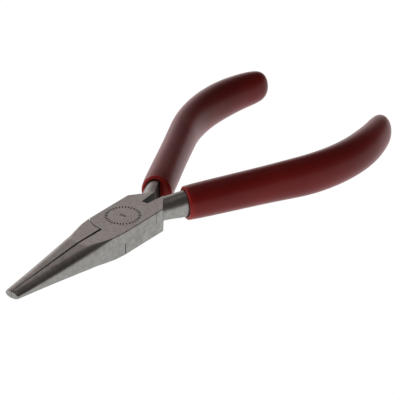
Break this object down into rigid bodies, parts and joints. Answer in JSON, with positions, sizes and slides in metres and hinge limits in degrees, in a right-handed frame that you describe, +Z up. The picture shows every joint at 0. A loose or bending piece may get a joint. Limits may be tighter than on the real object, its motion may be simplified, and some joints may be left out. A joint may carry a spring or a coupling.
{
  "type": "flat nose pliers",
  "caption": "Slim jewellery pliers with smooth tapering jaws, a riveted lap joint and red dipped grips on bowed handles.",
  "frame": {"origin": "on the pivot axis, at the flat underside of the joint", "axes": "+X along the tool from the nose towards the handles, +Y towards the handle of the upper half, +Z up along the pivot axis"},
  "size_m": [0.1296, 0.0576, 0.0118],
  "materials": {
    "steel": "fine ground, matt polished",
    "rivet_steel": "ground flush with the joint",
    "red_vinyl": "glossy dipped vinyl"
  },
  "bodies": {
    "lower": {"lower_half": "steel", "lower_half_grip": "red_vinyl", "pivot_rivet": "rivet_steel"},
    "upper": {"upper_half": "steel", "upper_half_grip": "red_vinyl"}
  },
  "joints": [
    {"name": "pivot", "type": "hinge", "parent": "lower", "child": "upper", "pos_m": [0, 0, 0.0033], "axis": [0, 0, 1], "range_deg": [0, 45]}
  ]
}
